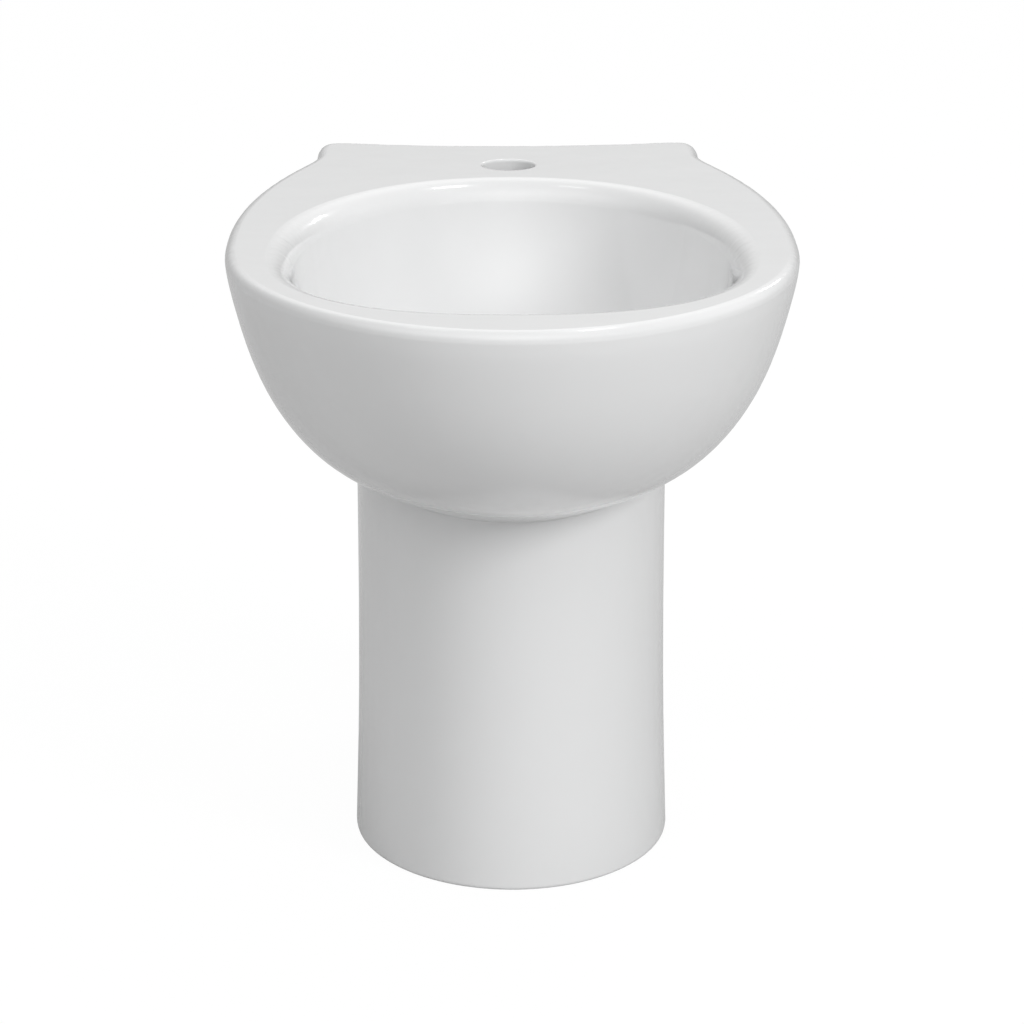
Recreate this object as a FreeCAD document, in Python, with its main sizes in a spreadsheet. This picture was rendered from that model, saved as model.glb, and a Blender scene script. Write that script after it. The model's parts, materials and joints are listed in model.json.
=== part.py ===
import FreeCAD, Part
import math
import os

import Sketcher

# One-piece glazed bidet on a pedestal, with its push-open waste, bottle trap and floor fixings.
# Millimetres. The origin is on the floor under the middle of the ceramic; +Z is up, -Y is the front.

SIZES = {
    # ceramic, outside
    "overall_width": 360.0,
    "overall_depth": 555.0,
    "overall_height": 400.0,
    "widest_setback": 229.0,
    "shoulder_setback": 250.0,
    "shoulder_reach": 354.0,
    "deck_half_width": 127.5,
    "deck_corner": 14.0,
    "rear_hollow": 11.0,
    "notch_blend": 8.0,
    "rim_round": 6.5,
    "bowl_drop": 160.0,
    "pedestal_half_width": 98.2,
    "pedestal_rear_half": 96.0,
    "pedestal_setback": 158.5,
    "pedestal_nose": 140.0,
    "pedestal_rear_margin": 62.0,
    "pedestal_corner": 12.0,
    "pedestal_hollow": 3.0,
    "pedestal_blend": 3.0,
    "pedestal_lap": 24.0,
    "foot_flare": 2.4,
    "foot_nose_flare": 4.5,
    "foot_round": 1.5,
    # ceramic, inside
    "wall": 12.0,
    "deck_thickness": 14.0,
    "rim_width": 40.5,
    "basin_front_margin": 58.5,
    "basin_widest_setback": 215.0,
    "deck_depth": 131.0,
    "basin_depth": 132.0,
    "basin_edge_round": 16.0,
    "tap_hole_diameter": 35.0,
    "tap_hole_margin": 77.5,
    "tap_hole_round": 1.5,
    "rear_opening_width": 144.0,
    "rear_apron": 55.0,
    "rear_opening_round": 30.0,
    # overflow
    "overflow_diameter": 16.0,
    "overflow_depth": 38.0,
    "overflow_setback": 37.0,
    "overflow_hole_length": 40.0,
    "duct_bore": 13.0,
    "duct_wall": 5.5,
    "chamber_radius": 30.0,
    "chamber_height": 14.0,
    "chamber_lift": 10.0,
    # waste
    "waste_setback": 245.0,
    "boss_radius": 39.0,
    "boss_height": 38.0,
    "waste_hole_diameter": 46.0,
    "waste_seat_depth": 4.0,
    "waste_seat_margin": 9.5,
    "recess_clearance": 1.0,
    "flange_radius": 32.5,
    "flange_thickness": 3.2,
    "tail_collar_radius": 22.4,
    "tail_collar_depth": 5.0,
    "flange_rim": 2.4,
    "flange_seat_width": 5.0,
    "flange_seat_depth": 0.8,
    "tail_diameter": 41.9,
    "tail_wall": 2.3,
    "tail_length": 84.0,
    "tail_slot_width": 9.0,
    "top_seal_thickness": 1.5,
    "bottom_seal_thickness": 4.0,
    "bottom_seal_cone": 1.5,
    "slip_washer_thickness": 2.0,
    "washer_radius": 34.0,
    "backnut_radius": 30.0,
    "backnut_height": 9.0,
    "thread_clearance": 0.05,
    # plug
    "plug_radius": 31.0,
    "plug_edge": 1.6,
    "plug_dome_radius": 190.0,
    "plug_travel": 7.0,
    "plug_seat_gap": 0.3,
    "plug_seal_width": 3.0,
    "stem_radius": 4.0,
    "stem_length": 44.0,
    "stem_bevel": 0.6,
    "stem_collar_radius": 9.0,
    "stem_collar_height": 2.5,
    "guide_clearance": 0.1,
    "cartridge_radius": 7.5,
    "cartridge_depth": 33.0,
    "cartridge_height": 14.0,
    "cartridge_ring_height": 4.0,
    "cartridge_ring_width": 2.5,
    "cartridge_arm_width": 3.0,
    "spring_radius": 6.2,
    "spring_wire": 1.2,
    # bottle trap
    "trap_neck_radius": 17.0,
    "trap_bore": 14.4,
    "trap_collar_height": 3.0,
    "trap_seal_thickness": 2.5,
    "trap_neck_height": 8.0,
    "trap_head_radius": 31.0,
    "trap_head_height": 42.0,
    "trap_wall": 3.0,
    "trap_skirt_radius": 28.0,
    "trap_skirt_height": 12.0,
    "trap_dip_depth": 44.0,
    "cup_collar_radius": 33.0,
    "cup_collar_height": 16.0,
    "cup_radius": 27.0,
    "cup_height": 74.0,
    "cup_wall": 2.6,
    "cup_round": 12.0,
    "cup_seal_thickness": 2.0,
    "nut_radius": 26.5,
    "nut_height": 26.0,
    "nut_lip": 3.0,
    "grip_radius": 2.6,
    "outlet_drop": 20.0,
    "stub_radius": 19.5,
    "stub_length": 22.0,
    "outlet_seal_length": 5.0,
    "outlet_nut_radius": 24.5,
    "outlet_nut_length": 20.0,
    "pipe_diameter": 32.0,
    "pipe_wall": 1.6,
    "pipe_clearance": 0.3,
    "pipe_entry": 14.0,
    "pipe_end_margin": 30.0,
    "pipe_bevel": 1.0,
    "socket_length": 45.0,
    "socket_mark_width": 1.2,
    "socket_mark_depth": 0.3,
    "trap_dip_wall": 1.6,
    # floor fixings
    "fixing_rear_margin": 100.0,
    "fixing_height": 30.0,
    "side_hole_diameter": 9.0,
    "bracket_thickness": 3.0,
    "bracket_width": 36.0,
    "bracket_height": 44.0,
    "bracket_foot": 42.0,
    "bracket_bend": 5.0,
    "bracket_gap": 0.3,
    "floor_hole_diameter": 9.0,
    "floor_hole_inset": 26.0,
    "insert_radius": 7.5,
    "insert_length": 8.0,
    "screw_radius": 3.0,
    "screw_length": 30.0,
    "screw_head_radius": 5.6,
    "screw_head_height": 2.2,
    "base_radius": 8.4,
    "base_thickness": 1.0,
    "cap_wall": 0.8,
    "cap_clearance": 0.1,
    "cap_dome": 1.4,
    # one overrun serves every cut
    "overrun": 5.0,
}

# Bowl: how far down each section lies, then how far its sides and its nose have drawn in
BOWL_SHARES = (
    (0.00, 0.000, 0.000),
    (0.06, 0.006, 0.005),
    (0.19, 0.056, 0.046),
    (0.32, 0.122, 0.100),
    (0.45, 0.204, 0.168),
    (0.58, 0.314, 0.260),
    (0.70, 0.452, 0.376),
    (0.80, 0.606, 0.508),
    (0.88, 0.786, 0.660),
    (0.94, 0.980, 0.820),
    (1.00, 1.190, 1.000),
    (1.04, 1.340, 1.115),
)
# Basin: the same, from the rim to the floor
BASIN_SHARES = (
    (0.00, 0.000),
    (0.14, 0.022),
    (0.32, 0.071),
    (0.50, 0.146),
    (0.66, 0.250),
    (0.80, 0.390),
    (0.90, 0.545),
    (0.96, 0.705),
    (0.985, 0.850),
    (1.00, 1.000),
)
# Pedestal: height, and how much of the foot's flare is there
PEDESTAL_SHARES = (
    (0.00, 1.0),
    (0.10, 0.72),
    (0.28, 0.24),
    (0.55, 0.00),
    (0.80, 0.10),
    (1.00, 0.30),
)
# Overflow duct: places between the basin and the skin, from the overflow down to the chamber
DUCT_SHARES = (
    (0.00, 0.00),
    (0.07, 0.19),
    (0.24, 0.54),
    (0.415, 0.75),
    (0.64, 0.932),
    (0.84, 0.992),
    (1.00, 1.00),
)
BASIN_FRONT_POWER = 2.5
BASIN_REAR_POWER = 2.1
GRIP_COUNT = 12
SLOT_COUNT = 4
SPRING_TURNS = 7
BASIN_SEAM_COUNT = 3
INSET_CORNER_SHARE = 0.5
ARC_REACH_SHARE = 0.45
WINDOW_REACH_SHARE = 0.77
# Where the plug's seal meets the flange's sloping seat, and how its shoulder rises from there
PLUG_SEAL_SHARES = (0.33, 0.75)
SEAL_SHOULDER_SHARE = 1.15
SPOKE_COUNT = 4

doc = FreeCAD.newDocument("bidet")
sheet = doc.addObject("Spreadsheet::Sheet", "Sizes")
for row, (alias, number) in enumerate(SIZES.items(), start=1):
    sheet.set(f"A{row}", alias)
    sheet.set(f"B{row}", str(number))
    sheet.setAlias(f"B{row}", alias)
doc.recompute()


class Length:
    """A length from the sheet: its number now, and the expression that binds it."""

    def __init__(self, value, text):
        self.value = value
        self.text = text

    def __add__(self, other):
        return Length(self.value + other.value, f"({self.text} + {other.text})")

    def __sub__(self, other):
        return Length(self.value - other.value, f"({self.text} - {other.text})")

    def __mul__(self, factor):
        return Length(self.value * factor, f"({self.text} * {factor})")

    def __truediv__(self, factor):
        return Length(self.value / factor, f"({self.text} / {factor})")

    def __neg__(self):
        return Length(-self.value, f"(0 - {self.text})")


def size(alias):
    return Length(float(sheet.get(alias)), f"Sizes.{alias}")


NONE = Length(0.0, "0")


def number(alias):
    return size(alias).value


def bind(item, **cells):
    """Bind properties of an object to lengths; a dot in a name is written as two underscores."""
    for key, length in cells.items():
        item.setExpression(key.replace("__", "."), length.text)


def mix(first, last, share):
    return first + (last - first) * share


def soft_max(one, other, blend):
    return (one + other + math.hypot(one - other, blend)) / 2


# Sketched bodies

def origin_item(body, role):
    for feature in body.Origin.OriginFeatures:
        if feature.Role == role:
            return feature
    raise ValueError(role)


def new_body(label):
    body = doc.addObject("PartDesign::Body", label)
    body.Label = label
    return body


def new_sketch(body, name, role):
    sketch = body.newObject("Sketcher::SketchObject", f"{body.Name}_{name}")
    sketch.AttachmentSupport = [(origin_item(body, role), "")]
    sketch.MapMode = "FlatFace"
    return sketch


def pin(sketch, curve, end, across, along):
    """Fix one end of a curve at a place worked out from the sheet."""
    for kind, length, axis in (("DistanceX", across, -2), ("DistanceY", along, -1)):
        if length.value == 0:
            sketch.addConstraint(Sketcher.Constraint("PointOnObject", curve, end, axis))
            continue
        rule = Sketcher.Constraint(kind, -1, 1, curve, end, length.value)
        index = sketch.addConstraint(rule)
        sketch.setExpression(f"Constraints[{index}]", length.text)


def arc_between(start, end, radius):
    """The arc of a signed radius from start to end; a positive one turns left."""
    chord = end - start
    rise = math.sqrt(radius ** 2 - (chord.Length / 2) ** 2)
    left = FreeCAD.Vector(-chord.y, chord.x, 0).normalize()
    centre = (start + end) / 2 + left * math.copysign(rise, radius)
    first, last = (start, end) if radius > 0 else (end, start)
    angles = [math.atan2(p.y - centre.y, p.x - centre.x) for p in (first, last)]
    circle = Part.Circle(centre, FreeCAD.Vector(0, 0, 1), abs(radius))
    return Part.ArcOfCircle(circle, angles[0], angles[1])


def draw_outline(sketch, corners):
    """A closed outline: each corner is (across, along), with a signed radius if an arc follows."""
    places = [FreeCAD.Vector(c[0].value, c[1].value, 0) for c in corners]
    ends = []
    for index, corner in enumerate(corners):
        start = places[index]
        end = places[(index + 1) % len(places)]
        if len(corner) == 2:
            curve = sketch.addGeometry(Part.LineSegment(start, end))
            ends.append((curve, 1, 2))
            continue
        radius = corner[2]
        curve = sketch.addGeometry(arc_between(start, end, radius.value))
        ends.append((curve, 1, 2) if radius.value > 0 else (curve, 2, 1))
    for index, (curve, first, last) in enumerate(ends):
        following = ends[(index + 1) % len(ends)]
        sketch.addConstraint(Sketcher.Constraint("Coincident", curve, last, following[0], following[1]))
        pin(sketch, curve, first, corners[index][0], corners[index][1])
        if len(corners[index]) == 3:
            radius = corners[index][2]
            rule = Sketcher.Constraint("Radius", curve, abs(radius.value))
            index_of_rule = sketch.addConstraint(rule)
            text = radius.text if radius.value > 0 else (-radius).text
            sketch.setExpression(f"Constraints[{index_of_rule}]", text)


def draw_circle(sketch, across, along, radius):
    centre = FreeCAD.Vector(across.value, along.value, 0)
    curve = sketch.addGeometry(Part.Circle(centre, FreeCAD.Vector(0, 0, 1), radius.value))
    pin(sketch, curve, 3, across, along)
    index = sketch.addConstraint(Sketcher.Constraint("Radius", curve, radius.value))
    sketch.setExpression(f"Constraints[{index}]", radius.text)


def turn(body, name, corners, cut=False):
    """Turn an outline of (radius, height) corners about the body's own Z axis."""
    sketch = new_sketch(body, name, "XZ_Plane")
    draw_outline(sketch, corners)
    kind = "PartDesign::Groove" if cut else "PartDesign::Revolution"
    feature = body.newObject(kind, f"{body.Name}_{name}_turn")
    feature.Profile = sketch
    feature.ReferenceAxis = (sketch, ["V_Axis"])
    feature.Angle = 360
    return feature


def turned(label, corners):
    body = new_body(label)
    turn(body, "profile", corners)
    return body


def ring(inner, outer, bottom, top):
    return [(inner, bottom), (outer, bottom), (outer, top), (inner, top)]


def grips(body, outer, depth):
    """Finger grooves round a plastic nut: one notch, repeated about Z."""
    sketch = new_sketch(body, "grip", "XY_Plane")
    draw_circle(sketch, outer + depth / 2, NONE, depth)
    notch = body.newObject("PartDesign::Pocket", f"{body.Name}_grip_cut")
    notch.Profile = sketch
    notch.Type = "ThroughAll"
    notch.Midplane = True
    pattern = body.newObject("PartDesign::PolarPattern", f"{body.Name}_grips")
    pattern.Originals = [notch]
    pattern.Axis = (origin_item(body, "Z_Axis"), [""])
    pattern.Angle = 360
    pattern.Occurrences = GRIP_COUNT
    body.Tip = pattern
    return pattern


def place(body, across=NONE, along=NONE, up=NONE, turn_axis=None, angle=0.0):
    """Give a body its Placement and bind its base to the sheet."""
    axis = FreeCAD.Vector(*(turn_axis or (0, 0, 1)))
    base = FreeCAD.Vector(across.value, along.value, up.value)
    body.Placement = FreeCAD.Placement(base, FreeCAD.Rotation(axis, angle))
    bind(body, Placement__Base__x=across, Placement__Base__y=along, Placement__Base__z=up)
    return body


# Document-level solids

def held(name, shape):
    item = doc.addObject("Part::Feature", name)
    item.Shape = shape
    return item


def fused(name, *items):
    item = doc.addObject("Part::MultiFuse", name)
    item.Shapes = list(items)
    return item


def shared(name, *items):
    item = doc.addObject("Part::MultiCommon", name)
    item.Shapes = list(items)
    return item


def cut(name, base, tool):
    item = doc.addObject("Part::Cut", name)
    item.Base = base
    item.Tool = tool
    return item


def rod(name, radius, length, across=NONE, along=NONE, up=NONE, turn_axis=None, angle=0.0):
    item = doc.addObject("Part::Cylinder", name)
    bind(item, Radius=radius, Height=length)
    return place(item, across, along, up, turn_axis, angle)


def block(name, width, depth, height, across=NONE, along=NONE, up=NONE):
    item = doc.addObject("Part::Box", name)
    bind(item, Length=width, Width=depth, Height=height)
    return place(item, across, along, up)


def rounded(name, base, radius, wanted):
    """Round the edges of a solid that a test picks out."""
    doc.recompute()
    item = doc.addObject("Part::Fillet", name)
    item.Base = base
    picked = [i for i, edge in enumerate(base.Shape.Edges, start=1) if wanted(edge.BoundBox)]
    item.Edges = [(i, radius.value, radius.value) for i in picked]
    return item


def level_at(height):
    """A test for edges that lie in the level plane at a height."""
    near = number("foot_round") / 100
    return lambda box: abs(box.ZMin - height.value) < near and abs(box.ZMax - height.value) < near


# Places and levels that several pieces share, from the ceramic down to the outlet

REAR = size("overall_depth") / 2
FRONT = -REAR
WASTE_Y = FRONT + size("waste_setback")
FIXING_Y = REAR - size("fixing_rear_margin")
TOP = size("overall_height")
FLOOR = TOP - size("basin_depth")
SEAT = FLOOR - size("waste_seat_depth")
BOSS_FOOT = FLOOR - size("boss_height")
FLANGE_UNDER = SEAT + size("top_seal_thickness")
PLUG_OPEN = FLANGE_UNDER + size("flange_thickness") + size("plug_seat_gap") + size("plug_travel")
CARTRIDGE_TOP = PLUG_OPEN - size("cartridge_depth")
TAIL_END = FLANGE_UNDER - size("tail_length")
NECK_TOP = TAIL_END - size("trap_seal_thickness")
HEAD_TOP = NECK_TOP - size("trap_collar_height") - size("trap_neck_height")
HEAD_LOW = HEAD_TOP - size("trap_head_height")
OUTLET_Z = HEAD_TOP - size("outlet_drop")


# Ceramic outlines


def body_outline(half, front, widest, shoulder, reach, rear_half, rear, corner, hollow, blend):
    """Points of a closed outline from the rear middle round the right side to the nose and back."""
    stop = rear - corner

    def side(along):
        past = max(0.0, along - shoulder) / reach
        return soft_max(half * math.sqrt(max(0.0, 1 - past ** 2)), rear_half, blend)

    inner = side(stop) - corner
    sweep = (inner ** 2 + hollow ** 2) / (2 * hollow)
    centre = stop + math.sqrt(sweep ** 2 - inner ** 2)
    lean = math.atan2(centre - stop, -inner)
    right = []
    for step in range(4):
        angle = (lean - math.pi / 2) * step / 4
        right.append(((sweep - corner) * math.sin(angle), centre - (sweep - corner) * math.cos(angle)))
    for step in range(3):
        angle = lean * (1 - step / 3)
        right.append((inner + corner * math.cos(angle), stop + corner * math.sin(angle)))
    for step in range(10):
        along = mix(stop, widest, step / 10)
        right.append((side(along), along))
    for step in range(6):
        angle = math.pi / 2 * step / 5
        nose = widest - (widest - front) * math.sin(angle)
        right.append((side(widest) * math.cos(angle), nose))
    return right + [(-across, along) for across, along in reversed(right[1:-1])]


def bowl_outline(side_share, nose_share, inset):
    """The bowl's outline where it has drawn in by these shares towards the pedestal."""
    pedestal_front = FRONT.value + number("pedestal_setback")
    half = mix(number("overall_width") / 2, number("pedestal_half_width"), side_share)
    front = mix(FRONT.value, pedestal_front, nose_share)
    widest = mix(
        FRONT.value + number("widest_setback"),
        pedestal_front + number("pedestal_nose"),
        side_share,
    )
    shoulder = mix(
        FRONT.value + number("shoulder_setback"),
        pedestal_front + number("pedestal_nose"),
        side_share,
    )
    rear_half = mix(number("deck_half_width"), number("pedestal_rear_half"), side_share)
    rear = mix(REAR.value, REAR.value - number("pedestal_rear_margin"), side_share)
    corner = mix(number("deck_corner"), number("pedestal_corner"), side_share)
    hollow = mix(number("rear_hollow"), number("pedestal_hollow"), side_share)
    blend = mix(number("notch_blend"), number("pedestal_blend"), side_share)
    reach = number("shoulder_reach")
    return body_outline(
        half - inset, front + inset, widest, shoulder, reach - inset, rear_half - inset,
        rear - inset, corner - inset * INSET_CORNER_SHARE, hollow, blend,
    )


def basin_outline(share, grown):
    """A superellipse that turns from the basin's mouth into a circle round the waste.

    Its points start beside the middle plane, so that the loft's seam keeps clear of it.
    """
    mouth_front = FRONT.value + number("basin_front_margin")
    mouth_rear = REAR.value - number("deck_depth")
    floor_radius = number("flange_radius") + number("waste_seat_margin")
    half = mix(number("overall_width") / 2 - number("rim_width"), floor_radius, share) + grown
    front = mix(mouth_front, WASTE_Y.value - floor_radius, share) - grown
    rear = mix(mouth_rear, WASTE_Y.value + floor_radius, share) + grown
    widest = mix(FRONT.value + number("basin_widest_setback"), WASTE_Y.value, share)
    right = []
    for step in range(5):
        angle = math.pi / 2 * (1 - step / 5)
        power = 2 / mix(BASIN_REAR_POWER, 2, share)
        across = half * math.cos(angle) ** power
        right.append((across, widest + (rear - widest) * math.sin(angle) ** power))
    for step in range(7):
        angle = math.pi / 2 * step / 6
        power = 2 / mix(BASIN_FRONT_POWER, 2, share)
        across = half * max(0.0, math.cos(angle)) ** power
        right.append((across, widest - (widest - front) * math.sin(angle) ** power))
    right[0] = (0.0, rear)
    right[-1] = (0.0, front)
    outline = right + [(-across, along) for across, along in reversed(right[1:-1])]
    return outline[BASIN_SEAM_COUNT:] + outline[:BASIN_SEAM_COUNT]


def knots_along(points):
    """Shares of the way round a closed outline at each of its points."""
    runs = [math.dist(a, b) for a, b in zip(points, points[1:] + points[:1])]
    return [sum(runs[:count]) / sum(runs) for count in range(len(runs) + 1)]


def loft(levels, outlines):
    """A solid through closed outlines at the given levels."""
    knots = knots_along(outlines[0])
    wires = []
    for level, outline in zip(levels, outlines):
        curve = Part.BSplineCurve()
        points = [FreeCAD.Vector(across, along, level) for across, along in outline]
        curve.interpolate(Points=points, PeriodicFlag=True, Parameters=knots)
        wires.append(Part.Wire([curve.toShape()]))
    return Part.makeLoft(wires, True, False)


def bowl_form(name, top, drop, inset):
    levels = [top.value - drop.value * share for share, _, _ in BOWL_SHARES]
    outlines = [bowl_outline(side, nose, inset.value) for _, side, nose in BOWL_SHARES]
    return held(name, loft(levels, outlines))


def pedestal_form(name, foot, top, inset):
    """The upright part: a narrower outline with a slight flare at the foot."""
    levels = []
    outlines = []
    for height, flare_share in PEDESTAL_SHARES:
        out = number("foot_flare") * flare_share - inset.value
        front = FRONT.value + number("pedestal_setback")
        widest = front + number("pedestal_nose")
        levels.append(mix(foot.value, top.value, height))
        outlines.append(body_outline(
            number("pedestal_half_width") + out,
            front - number("foot_nose_flare") * flare_share + inset.value,
            widest,
            widest,
            number("shoulder_reach"),
            number("pedestal_rear_half") + out,
            REAR.value - number("pedestal_rear_margin") - inset.value,
            number("pedestal_corner") - inset.value * INSET_CORNER_SHARE,
            number("pedestal_hollow"),
            number("pedestal_blend"),
        ))
    return held(name, loft(levels, outlines))


def basin_form(name, top, drop, grown, rise):
    levels = [top.value - drop.value * share for share, _ in BASIN_SHARES]
    outlines = [basin_outline(share, grown.value) for _, share in BASIN_SHARES]
    levels[0] += rise.value
    return held(name, loft(levels, outlines))


def duct_path():
    """The overflow's way from the front of the basin down to the chamber, straight runs and arcs."""
    mouth_y = FRONT.value + number("overflow_setback")
    start = FreeCAD.Vector(0, mouth_y, TOP.value - number("overflow_depth"))
    chamber_middle = BOSS_FOOT.value + number("chamber_lift") + number("chamber_height") / 2
    end = FreeCAD.Vector(0, WASTE_Y.value - number("waste_hole_diameter") / 2, chamber_middle)
    points = [
        FreeCAD.Vector(0, mix(start.y, end.y, along), mix(start.z, end.z, down))
        for along, down in DUCT_SHARES
    ]
    edges = []
    last = points[0]
    for before, corner, after in zip(points, points[1:], points[2:]):
        back = (before - corner).normalize()
        ahead = (after - corner).normalize()
        reach = ARC_REACH_SHARE * min(before.distanceToPoint(corner), after.distanceToPoint(corner))
        half_angle = back.getAngle(ahead) / 2
        radius = reach * math.tan(half_angle)
        middle = (back + ahead).normalize() * (radius / math.sin(half_angle) - radius)
        arc_start = corner + back * reach
        arc_end = corner + ahead * reach
        edges.append(Part.LineSegment(last, arc_start).toShape())
        edges.append(Part.Arc(arc_start, corner + middle, arc_end).toShape())
        last = arc_end
    edges.append(Part.LineSegment(last, points[-1]).toShape())
    return Part.Wire(edges)


def duct_form(name, radius):
    path = duct_path()
    first = path.Edges[0]
    direction = first.tangentAt(first.FirstParameter)
    section = Part.Circle(path.Vertexes[0].Point, direction, radius.value)
    section.XAxis = FreeCAD.Vector(1, 0, 0)
    return held(name, path.makePipeShell([Part.Wire([section.toShape()])], True, False))


def overflow_rod(name, grown):
    """The level bore of the overflow, or the sleeve round it, from the duct to inside the basin."""
    start = FRONT + size("overflow_setback") - size("duct_bore") / 2 - grown
    return rod(
        name, size("overflow_diameter") / 2 + grown, size("overflow_hole_length") + grown,
        along=start, up=TOP - size("overflow_depth"), turn_axis=(1, 0, 0), angle=-90.0,
    )


def ceramic():
    """Outer skin, hollow inside, a basin shell hung in it and the holes that the fittings need."""
    wall = size("wall")
    over = size("overrun")
    crease = TOP - size("bowl_drop")
    bowl = bowl_form("bowl_skin", TOP, size("bowl_drop"), NONE)
    bowl = rounded("bowl_rim", bowl, size("rim_round"), level_at(TOP))
    stand = pedestal_form("pedestal_skin", NONE, crease + size("pedestal_lap"), NONE)
    stand = rounded("pedestal_foot", stand, size("foot_round"), level_at(NONE))
    skin = fused("skin", bowl, stand)

    bowl_room = bowl_form(
        "bowl_room", TOP - size("deck_thickness"),
        size("bowl_drop") - size("deck_thickness") - wall, wall,
    )
    stand_room = pedestal_form("pedestal_room", -over, crease + size("pedestal_lap"), wall)
    room = fused("room", bowl_room, stand_room)

    shell = basin_form("basin_shell", TOP, size("basin_depth") + wall, wall, -size("rim_round"))
    boss = rod(
        "waste_boss", size("boss_radius"), size("boss_height") - wall / 2,
        along=WASTE_Y, up=BOSS_FOOT,
    )
    duct = fused(
        "duct_and_sleeve",
        duct_form("duct_tube", size("duct_bore") / 2 + size("duct_wall")),
        overflow_rod("overflow_sleeve", size("duct_wall")),
    )
    inner = fused("inner_shell", shell, boss, shared("duct_skin", duct, skin))
    hollow = cut("hollow", room, inner)
    blank = cut("ceramic_blank", skin, hollow)

    basin = basin_form("basin_hollow", TOP, size("basin_depth"), NONE, NONE)
    with_basin = cut("ceramic_basin", blank, basin)
    edged = rounded("basin_edge", with_basin, size("basin_edge_round"), basin_mouth_test())

    holes = [
        rod("waste_hole", size("waste_hole_diameter") / 2, size("boss_height") + over * 2,
            along=WASTE_Y, up=BOSS_FOOT - over),
        rod("waste_recess", size("flange_radius") + size("recess_clearance"),
            size("waste_seat_depth") + over, along=WASTE_Y, up=SEAT),
        rod("overflow_chamber", size("chamber_radius"), size("chamber_height"),
            along=WASTE_Y, up=BOSS_FOOT + size("chamber_lift")),
        tap_hole(),
        duct_form("duct_bore", size("duct_bore") / 2),
        overflow_rod("overflow_hole", NONE),
        rod("fixing_holes", size("side_hole_diameter") / 2, size("overall_width"),
            across=-size("overall_width") / 2, along=FIXING_Y, up=size("fixing_height"),
            turn_axis=(0, 1, 0), angle=90.0),
        rear_opening(),
    ]
    body = cut("bidet_body", edged, fused("ceramic_holes", *holes))
    body.Label = "bidet_body"
    return body


def tap_hole():
    """The tap's hole through the deck, with the glaze rounded over its upper edge."""
    radius = size("tap_hole_diameter") / 2
    edge = size("tap_hole_round")
    high = TOP + size("overrun")
    hole = turned("tap_hole", [
        (NONE, TOP - size("deck_thickness") - size("overrun")),
        (radius, TOP - size("deck_thickness") - size("overrun")),
        (radius, TOP - edge, -edge),
        (radius + edge, TOP),
        (radius + edge, high),
        (NONE, high),
    ])
    return place(hole, along=REAR - size("tap_hole_margin"))


def basin_mouth_test():
    """The edge where the basin meets the deck, inside the outer rim."""
    level = level_at(TOP)
    reach = number("overall_width") / 2 - number("rim_width") / 2
    return lambda box: level(box) and box.XMax < reach


def rear_opening():
    """The open back: a wide arch from the floor up to the apron under the deck."""
    over = size("overrun")
    depth = size("pedestal_rear_margin") + size("wall") * 2
    slab = block(
        "rear_slab", size("rear_opening_width"), depth + over,
        TOP - size("rear_apron") + over,
        across=-size("rear_opening_width") / 2, along=REAR - depth, up=-over,
    )
    height = TOP - size("rear_apron")
    level = level_at(height)
    side = number("rear_opening_width") / 4
    return rounded(
        "rear_arch", slab, size("rear_opening_round"),
        lambda box: level(box) and box.XMax - box.XMin < side,
    )


# Waste: flange and tail, its seals and nut

def waste_body():
    """Plated flange with a slotted tail that passes through the ceramic."""
    outer = size("tail_diameter") / 2
    inner = outer - size("tail_wall")
    under = FLANGE_UNDER
    top = under + size("flange_thickness")
    rim = size("flange_rim")
    collar = size("tail_collar_radius")
    body = turned("waste_body", [
        (inner, TAIL_END),
        (outer, TAIL_END),
        (outer, under - size("tail_collar_depth")),
        (collar, under - size("tail_collar_depth") + collar - outer),
        (collar, under),
        (size("flange_radius"), under),
        (size("flange_radius"), under + rim / 2),
        (size("flange_radius") - rim / 2, under + rim),
        (size("flange_radius") - rim, top),
        (size("flange_radius") - rim * 2, top),
        (seat_radius(1), seat_level(1)),
        (seat_radius(0), seat_level(0)),
    ])
    sketch = new_sketch(body, "slot", "XZ_Plane")
    half = size("tail_slot_width") / 2
    low = BOSS_FOOT + size("chamber_lift")
    high = low + size("chamber_height")
    draw_outline(sketch, [(-half, low), (half, low), (half, high), (-half, high)])
    slot = body.newObject("PartDesign::Pocket", "waste_body_slot_cut")
    slot.Profile = sketch
    bind(slot, Length=outer + size("overrun"))
    pattern = body.newObject("PartDesign::PolarPattern", "waste_body_slots")
    pattern.Originals = [slot]
    pattern.Axis = (origin_item(body, "Z_Axis"), [""])
    pattern.Angle = 360
    pattern.Occurrences = SLOT_COUNT
    body.Tip = pattern
    return place(body, along=WASTE_Y)


def waste_seals():
    """Rubber above and below the ceramic, and the plastic washer that the nut turns on."""
    outer = size("tail_diameter") / 2 + size("thread_clearance")
    top_seal = turned("waste_top_seal", ring(
        size("waste_hole_diameter") / 2, size("flange_radius") - size("flange_rim") / 2,
        SEAT, FLANGE_UNDER,
    ))
    low = BOSS_FOOT - size("bottom_seal_thickness")
    bottom_seal = turned("waste_bottom_seal", [
        (outer, low),
        (size("washer_radius"), low),
        (size("washer_radius"), BOSS_FOOT - size("bottom_seal_cone")),
        (size("washer_radius") - size("bottom_seal_cone"), BOSS_FOOT),
        (outer, BOSS_FOOT),
    ])
    washer = turned("waste_slip_washer", ring(
        outer, size("washer_radius"), low - size("slip_washer_thickness"), low,
    ))
    return [place(item, along=WASTE_Y) for item in (top_seal, bottom_seal, washer)]


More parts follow.
